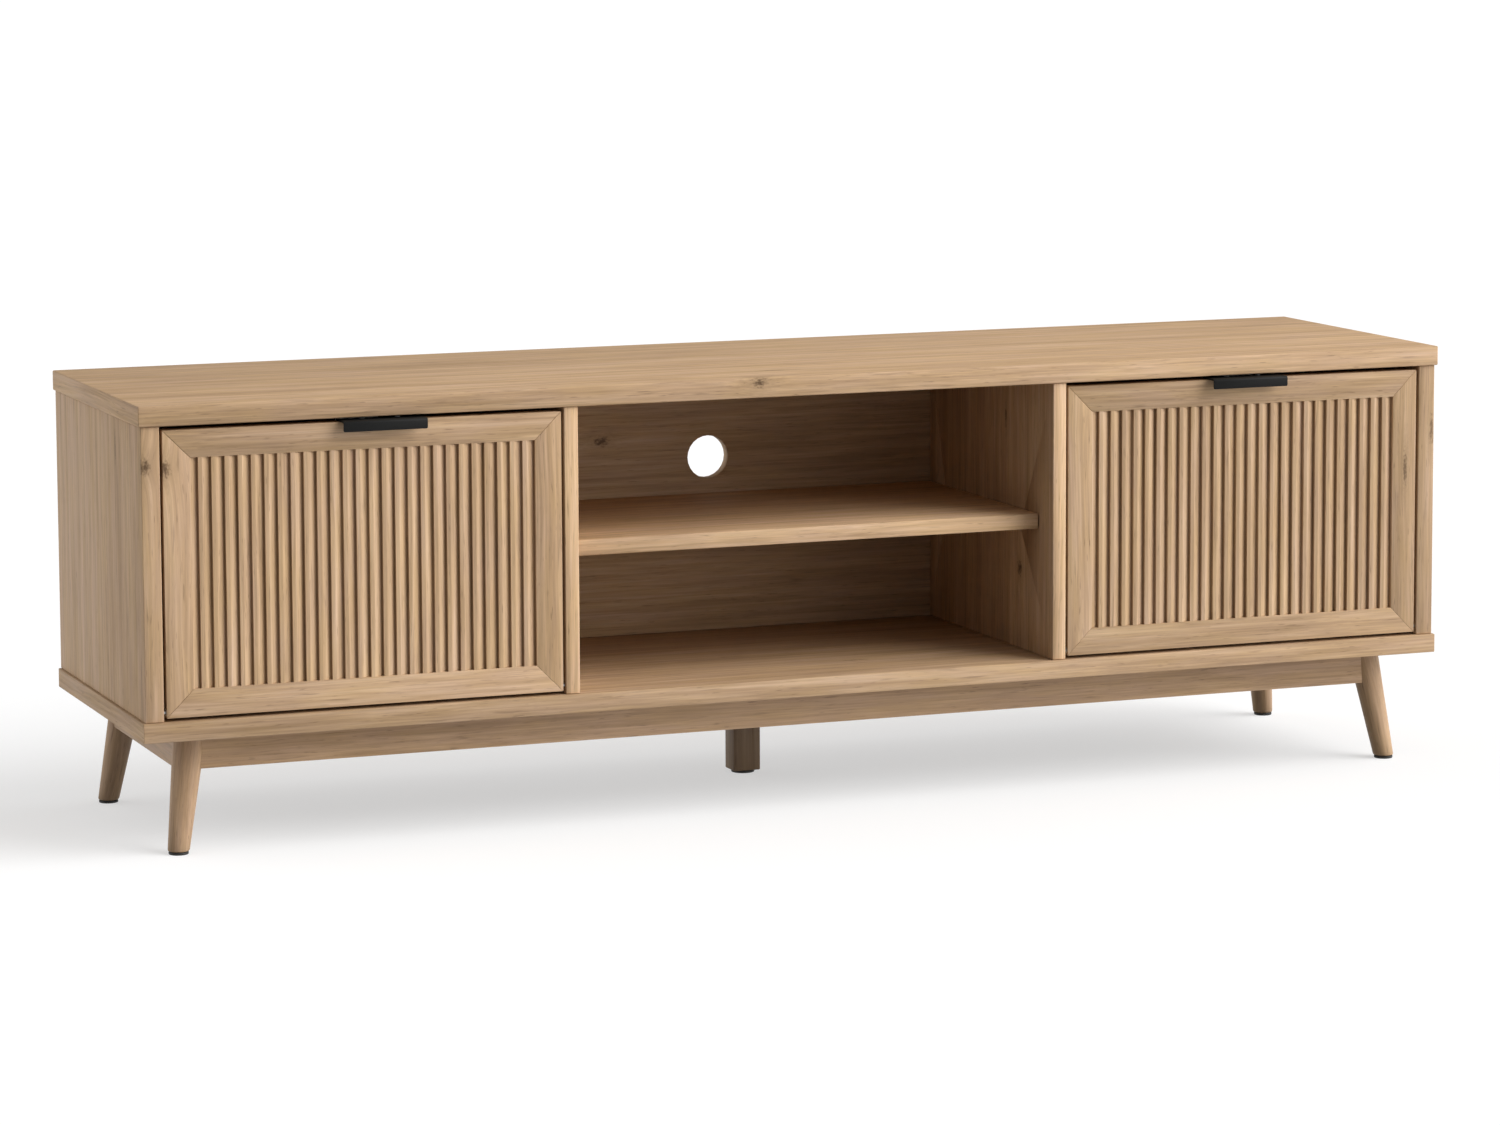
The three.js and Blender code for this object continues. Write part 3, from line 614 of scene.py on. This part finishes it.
# Black powder coat. It gives the eye a fine dead-matt grit with a grey bloom on the fold.
black_coat = bpy.data.materials.new("black_powder_coat")
black_coat.use_nodes = True
tree = black_coat.node_tree
place = add(tree, "ShaderNodeTexCoord").outputs["Object"]
grit = add(tree, "ShaderNodeTexNoise", {"Vector": place, "Scale": 1400.0, "Detail": 2.0})
blacks = add(tree, "ShaderNodeValToRGB", {"Fac": grit})
stops = blacks.color_ramp.elements
stops[0].position, stops[0].color = 0.3, linear("#161616")
stops[1].position, stops[1].color = 0.7, linear("#1f1f1e")
rise = add(tree, "ShaderNodeBump", {"Height": grit, "Distance": 0.00012, "Strength": 0.5})
paint = tree.nodes["Principled BSDF"]
paint.inputs["Roughness"].default_value = 0.5
paint.inputs["Specular IOR Level"].default_value = 0.12
tree.links.new(blacks.outputs["Color"], paint.inputs["Base Color"])
tree.links.new(rise.outputs["Normal"], paint.inputs["Normal"])

SHEET = 0.002
FOLD = 0.0030  # outer radius of the fold
FOLD_STEPS = 8
LEAF_CORNER = 0.0016  # radius at the lip's two corners


def folded_pull(node):
    """The pull's section, two leaves and a rounded fold, carried along its length."""
    low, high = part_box(node)
    outer, inner = [], []
    for i in range(FOLD_STEPS + 1):
        turn = math.pi / 2 * i / FOLD_STEPS
        back, drop = 1 - math.sin(turn), 1 - math.cos(turn)
        outer.append((low.y + FOLD * back, high.z - FOLD * drop))
        bend = FOLD - SHEET
        inner.append((low.y + SHEET + bend * back, high.z - SHEET - bend * drop))
    # From the rear end of the top leaf over the fold to the lip, and back inside.
    section = [(high.y, high.z)] + outer + [(low.y, low.z), (low.y + SHEET, low.z)]
    section += list(reversed(inner)) + [(high.y, high.z - SHEET)]
    shape = bmesh.new()
    rings = [[shape.verts.new((x, y, z)) for y, z in section] for x in (low.x, high.x)]
    count = len(section)
    for i in range(count):
        j = (i + 1) % count
        shape.faces.new((rings[0][i], rings[0][j], rings[1][j], rings[1][i]))
    shape.faces.new(list(reversed(rings[0])))
    shape.faces.new(rings[1])
    corners = [
        e for e in shape.edges
        if all(v.co.z < low.z + 1e-5 for v in e.verts) and e.calc_length() < SHEET * 1.1
    ]
    bmesh.ops.bevel(
        shape, geom=corners, offset=LEAF_CORNER, segments=4, profile=0.5, affect="EDGES"
    )
    bmesh.ops.recalc_face_normals(shape, faces=shape.faces)
    return ease_edges(shape, 0.00035, least_angle=50)


for door in ("left_door", "right_door"):
    node = f"{door}_pull"
    piece(f"{node}_folded", folded_pull(node), black_coat, door, [node])

# ---------------------------------------------------------------------------------------------
# Door pivots. A plain steel pin pressed into each panel turns in a nylon bush that is let into
# the door's lower corner.

# Natural nylon, moulded. It gives the eye a warm milky white, slightly uneven, with a dull shine.
nylon = bpy.data.materials.new("moulded_natural_nylon")
nylon.use_nodes = True
tree = nylon.node_tree
place = add(tree, "ShaderNodeTexCoord").outputs["Object"]
milk = add(tree, "ShaderNodeTexNoise", {"Vector": place, "Scale": 300.0, "Detail": 2.0})
whites = add(tree, "ShaderNodeValToRGB", {"Fac": milk})
whites.color_ramp.elements[0].color = linear("#dedbd0")
whites.color_ramp.elements[1].color = linear("#efede6")
rise = add(tree, "ShaderNodeBump", {"Height": milk, "Distance": 0.00008, "Strength": 0.3})
plastic = tree.nodes["Principled BSDF"]
plastic.inputs["Roughness"].default_value = 0.5
tree.links.new(whites.outputs["Color"], plastic.inputs["Base Color"])
tree.links.new(rise.outputs["Normal"], plastic.inputs["Normal"])

for hand in ("left", "right"):
    for end in ("outer", "inner"):
        hardware(f"{hand}_pivot_pin_{end}", zinc_steel, "cabinet", 0.0004)
        hardware(f"{hand}_pivot_bush_{end}", nylon, f"{hand}_door", 0.0003)

# ---------------------------------------------------------------------------------------------
# Flap stays. A slotted steel arm turns on the door's bracket and slides on a stud in the side
# panel, and holds the open door level. Brackets and arm are pressed from zinc-plated strip.

for hand in ("left", "right"):
    hardware(f"{hand}_stay_wall_bracket", zinc_steel, "cabinet", 0.0003)
    hardware(f"{hand}_stay_door_bracket", zinc_steel, f"{hand}_door", 0.0003)
    hardware(f"{hand}_stay_arm", zinc_steel, f"{hand}_stay", 0.0003)

# ---------------------------------------------------------------------------------------------
# Magnetic catches. A moulded nylon case under the top board, and a steel strike plate screwed
# to the back of the door.

for hand in ("left", "right"):
    hardware(f"{hand}_magnetic_catch", nylon, "cabinet", 0.001)
    hardware(f"{hand}_strike_plate", zinc_steel, f"{hand}_door", 0.0003)

# ---------------------------------------------------------------------------------------------
# Screws and cam locks. Pan-head screws with a cross recess hold the hardware. Cam locks of
# 15 mm, flush in the board, draw the carcass together. All are zinc plated.

HEAD_SIDES = 24
HEAD_RINGS = (0.16, 0.34, 0.5, 0.62, 0.78, 0.92, 1.0)  # in parts of the head's radius
SUNK = 0.0004  # how far the rim goes into what it holds


def driven_head(name, radius, height, crown, recess):
    """A round head with an eased rim and a cross recess, its rim at z = 0, looking along +Z."""
    half_slot, slot_end = 0.15 * radius, 0.62 * radius
    shape = bmesh.new()

    def level(x, y, part):
        top = height * (crown + (1 - crown) * math.sqrt(max(0.0, 1 - part * part)))
        cross = min(abs(x), abs(y)) < half_slot and max(abs(x), abs(y)) < slot_end
        return top - recess if cross else top

    middle = shape.verts.new((0, 0, level(0, 0, 0)))
    loops = []
    for part in HEAD_RINGS:
        loop = []
        for i in range(HEAD_SIDES):
            turn = 2 * math.pi * (i + 0.5) / HEAD_SIDES
            x, y = radius * part * math.cos(turn), radius * part * math.sin(turn)
            loop.append(shape.verts.new((x, y, level(x, y, part))))
        loops.append(loop)
    rim = [shape.verts.new((v.co.x, v.co.y, -SUNK)) for v in loops[-1]]
    loops.append(rim)
    for i in range(HEAD_SIDES):
        j = (i + 1) % HEAD_SIDES
        shape.faces.new((middle, loops[0][i], loops[0][j]))
        for near, far in zip(loops, loops[1:]):
            shape.faces.new((near[i], far[i], far[j], near[j]))
    shape.faces.new(list(reversed(rim)))
    bmesh.ops.recalc_face_normals(shape, faces=shape.faces)
    mesh = bpy.data.meshes.new(name)
    shape.to_mesh(mesh)
    shape.free()
    made = bpy.data.objects.new(name, mesh)
    bpy.context.scene.collection.objects.link(made)
    return made


fixings, given, fixing_inputs = geometry_tree(
    "fixings", places="Geometry", head="Object", finish="Material"
)
inputs = {"Name": "facing"}
facing = add(fixings, "GeometryNodeInputNamedAttribute", inputs, data_type="FLOAT_VECTOR")
aim = add(fixings, "FunctionNodeAlignRotationToVector", {"Vector": facing}, axis="Z")
inputs = {"Object": given["head"]}
head_of = add(fixings, "GeometryNodeObjectInfo", inputs, transform_space="ORIGINAL")
inputs = {
    "Points": given["places"], "Instance": head_of.outputs["Geometry"], "Rotation": aim,
}
set_in = add(fixings, "GeometryNodeInstanceOnPoints", inputs)
whole = add(fixings, "GeometryNodeRealizeInstances", {0: set_in})
coated = add(fixings, "GeometryNodeSetMaterial", {0: whole, "Material": given["finish"]})
add(fixings, "NodeGroupOutput", {0: coated})


def drive(name, head, places, body):
    """One mesh of all the heads of a kind on a body. A place is a point and the way it looks."""
    points = bpy.data.meshes.new(name)
    points.from_pydata([place for place, _ in places], [], [])
    facing = points.attributes.new("facing", "FLOAT_VECTOR", "POINT")
    facing.data.foreach_set("vector", [value for _, way in places for value in way])
    inputs = {fixing_inputs["head"]: head, fixing_inputs["finish"]: zinc_steel}
    return piece(name, grown(name, fixings, inputs, points), zinc_steel, body)


screw = driven_head("screw_head", radius=0.0032, height=0.0012, crown=0.35, recess=0.0006)
cam = driven_head("cam_lock_head", radius=0.0075, height=0.0005, crown=0.9, recess=0.0004)

BEHIND, ABOVE = (0, 1, 0), (0, 0, 1)
STRIKE_INSET = 0.007  # from the strike plate's ends to its screws
STRIKE_LIFT = 0.0002  # from the strike plate's face to the rim of a screw
FOOT_THICK = 0.0020  # from the door's back to a rim, just off the stay bracket's foot
FOOT_INSET = 0.0065  # from the foot's ends to its screws
FOOT_MIDDLE = 0.006  # and from its inner edge
PULL_INSET = 0.028  # from the pull's ends to its screws
LEAF_INSET = 0.006  # and from the rear of its top leaf
WALL_THICK = 0.0025  # from the side panel to a rim, just off the wall bracket's face
WALL_INSET = 0.007  # from the wall bracket's ends to its screws

for hand, side in (("left", -1), ("right", 1)):
    door = f"{hand}_door"
    plate_low, plate_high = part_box(f"{hand}_strike_plate")
    on_door = [
        ((x, plate_high.y + STRIKE_LIFT, (plate_low.z + plate_high.z) / 2), BEHIND)
        for x in (plate_low.x + STRIKE_INSET, plate_high.x - STRIKE_INSET)
    ]
    foot_low, foot_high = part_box(f"{hand}_stay_door_bracket")
    foot_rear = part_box(f"{door}_left_stile")[1].y + FOOT_THICK
    inner = foot_low.x if side > 0 else foot_high.x
    on_door += [
        ((inner + side * FOOT_MIDDLE, foot_rear, z), BEHIND)
        for z in (foot_low.z + FOOT_INSET, foot_high.z - FOOT_INSET)
    ]
    pull_low, pull_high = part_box(f"{door}_pull")
    on_door += [
        ((x, pull_high.y - LEAF_INSET, pull_high.z), ABOVE)
        for x in (pull_low.x + PULL_INSET, pull_high.x - PULL_INSET)
    ]
    drive(f"{door}_screws", screw, on_door, door)

    wall_low, wall_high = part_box(f"{hand}_stay_wall_bracket")
    panel_low, panel_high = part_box(f"{hand}_side_panel")
    panel_face = panel_low.x if side > 0 else panel_high.x
    middle_y = (wall_low.y + wall_high.y) / 2
    on_wall = [
        ((panel_face - side * WALL_THICK, middle_y, z), (-side, 0, 0))
        for z in (wall_low.z + WALL_INSET, wall_high.z - WALL_INSET)
    ]
    drive(f"{hand}_stay_bracket_screws", screw, on_wall, "cabinet")

CAM_INSET = 0.034  # from a board's end to the middle of a cam lock
CAMS_ALONG_BACK = (-0.74, -0.36, 0.36, 0.74)
CAMS_ALONG_SIDE = (-0.11, 0.11)
STAY_ROOM = 0.3  # no front lock below this height, to leave the flap stay room

back_low, back_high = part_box("back_panel")
cams = []
for x in CAMS_ALONG_BACK:
    for z in (back_low.z + CAM_INSET, back_high.z - CAM_INSET):
        cams.append(((x, back_high.y, z), BEHIND))
for hand, side in (("left", -1), ("right", 1)):
    side_low, side_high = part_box(f"{hand}_side_panel")
    divider_low, divider_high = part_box(f"{hand}_divider")
    side_face = side_low.x if side > 0 else side_high.x
    divider_face = divider_high.x if side > 0 else divider_low.x
    for y in CAMS_ALONG_SIDE:
        for z in (side_low.z + CAM_INSET, side_high.z - CAM_INSET):
            if y < 0 and z < STAY_ROOM:
                continue
            cams.append(((side_face, y, z), (-side, 0, 0)))
            cams.append(((divider_face, y, z), (side, 0, 0)))
drive("cam_locks", cam, cams, "cabinet")
for head in (screw, cam):
    bpy.data.objects.remove(head)

# ---------------------------------------------------------------------------------------------
# Studio. A plain white floor that runs out of sight, an even white surround, one broad soft
# light from the right, in front and above, and the camera.

# Lit white acrylic table top. It gives the eye a clean ground whose shadows stay pale.
lit_table = bpy.data.materials.new("lit_white_acrylic")
lit_table.use_nodes = True
tree = lit_table.node_tree
acrylic = tree.nodes["Principled BSDF"]
acrylic.inputs["Base Color"].default_value = (0.50, 0.50, 0.50, 1.0)
acrylic.inputs["Roughness"].default_value = 0.3
acrylic.inputs["Specular IOR Level"].default_value = 0.0
acrylic.inputs["Emission Color"].default_value = (1.0, 1.0, 1.0, 1.0)
acrylic.inputs["Emission Strength"].default_value = 0.53

FLOOR_REACH = 60.0  # from the middle to each edge
FLAG_DROP = 0.001  # the flag lies that far under the floor


def studio_sheet(name, low, high, z, finish):
    """A level rectangle of the studio between two corners."""
    made = bpy.data.objects.new(name, bpy.data.meshes.new(name))
    bpy.context.scene.collection.objects.link(made)
    corners = [(low.x, low.y, z), (high.x, low.y, z), (high.x, high.y, z), (low.x, high.y, z)]
    made.data.from_pydata(corners, [], [(0, 1, 2, 3)])
    made.data.materials.append(finish)
    return made


far = Vector((FLOOR_REACH, FLOOR_REACH))
floor = studio_sheet("studio_floor", -far, far, 0, lit_table)
floor.visible_diffuse = False

# Black cloth. It gives the eye nothing, since it is out of sight: a flag of it lies under the
# cabinet and keeps the underside dim.
black_cloth = bpy.data.materials.new("black_flag_cloth")
black_cloth.use_nodes = True
cloth = black_cloth.node_tree.nodes["Principled BSDF"]
cloth.inputs["Base Color"].default_value = linear("#3a3a3a")
flag = studio_sheet("studio_flag", *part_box("bottom_board"), -FLAG_DROP, black_cloth)
flag.visible_camera = flag.visible_glossy = flag.visible_shadow = False

surround = bpy.data.worlds.new("white_surround")
bpy.context.scene.world = surround
surround.use_nodes = True
tree = surround.node_tree
tree.nodes.clear()
direction = add(tree, "ShaderNodeTexCoord").outputs["Generated"]
# Broad soft lights: where each hangs, how bright it is and how tightly it is gathered. They
# add up over an even glow, and the camera sees plain white in place of them.
glow = 0.045
for toward, strength, gathered in (
    ((0.90, -0.40, 0.20), 3.3, 3.6),
    ((0.0, 0.0, 1.0), 0.27, 1.0),
    ((-0.86, 0.51, 0.0), 1.5, 3.0),
    ((0.1, -0.75, -0.65), 0.30, 2.0),
):
    inputs = {0: direction, 1: tuple(Vector(toward).normalized())}
    facing = add(tree, "ShaderNodeVectorMath", inputs, operation="DOT_PRODUCT")
    inputs = {0: facing.outputs["Value"], 1: 0.0}
    ahead = add(tree, "ShaderNodeMath", inputs, operation="MAXIMUM")
    lobe = add(tree, "ShaderNodeMath", {0: ahead, 1: gathered}, operation="POWER")
    inputs = {0: lobe, 1: strength, 2: glow}
    glow = add(tree, "ShaderNodeMath", inputs, operation="MULTIPLY_ADD")
soft = add(tree, "ShaderNodeBackground", {"Color": (1, 1, 1, 1), "Strength": glow})
seen = add(tree, "ShaderNodeBackground", {"Color": (1, 1, 1, 1), "Strength": 1.0})
ray = add(tree, "ShaderNodeLightPath")
both = add(tree, "ShaderNodeMixShader", {0: ray.outputs["Is Camera Ray"], 1: soft, 2: seen})
add(tree, "ShaderNodeOutputWorld", {"Surface": both})

KEY_AZIMUTH = math.radians(52)  # right of straight in front
KEY_HEIGHT = math.radians(39)
KEY_BREADTH = math.radians(45)
KEY_STRENGTH = 0.50  # how bright a white face turned to it looks
key = bpy.data.lights.new("key", "SUN")
key.energy = math.pi * KEY_STRENGTH
key.angle = KEY_BREADTH
lamp = bpy.data.objects.new("key", key)
bpy.context.scene.collection.objects.link(lamp)
toward = Vector((
    math.sin(KEY_AZIMUTH) * math.cos(KEY_HEIGHT),
    -math.cos(KEY_AZIMUTH) * math.cos(KEY_HEIGHT),
    math.sin(KEY_HEIGHT),
))
lamp.rotation_euler = toward.to_track_quat("Z", "Y").to_euler()

# A long lens, moved down on its shift so that the upright edges stay nearly parallel.
CAMERA_AT = Vector((-2.1129, -5.4104, 1.1227))
YAW, PITCH, ROLL = math.radians(21.221), math.radians(6.696), math.radians(-0.237)
view = bpy.data.cameras.new("camera")
view.lens = 118.85
view.sensor_width = 36.0
view.shift_y = -0.1
view.clip_end = 200.0
camera = bpy.data.objects.new("camera", view)
bpy.context.scene.collection.objects.link(camera)
flat = math.cos(PITCH)
ahead = Vector((math.sin(YAW) * flat, math.cos(YAW) * flat, -math.sin(PITCH)))
level = Vector((math.cos(YAW), -math.sin(YAW), 0))
right = level * math.cos(ROLL) + level.cross(ahead) * math.sin(ROLL)
camera.matrix_world = Matrix.Translation(CAMERA_AT) @ Matrix(
    (right, right.cross(ahead), -ahead)
).transposed().to_4x4()
bpy.context.scene.camera = camera

bpy.context.scene.view_settings.view_transform = "Standard"
bpy.context.scene.view_settings.look = "None"
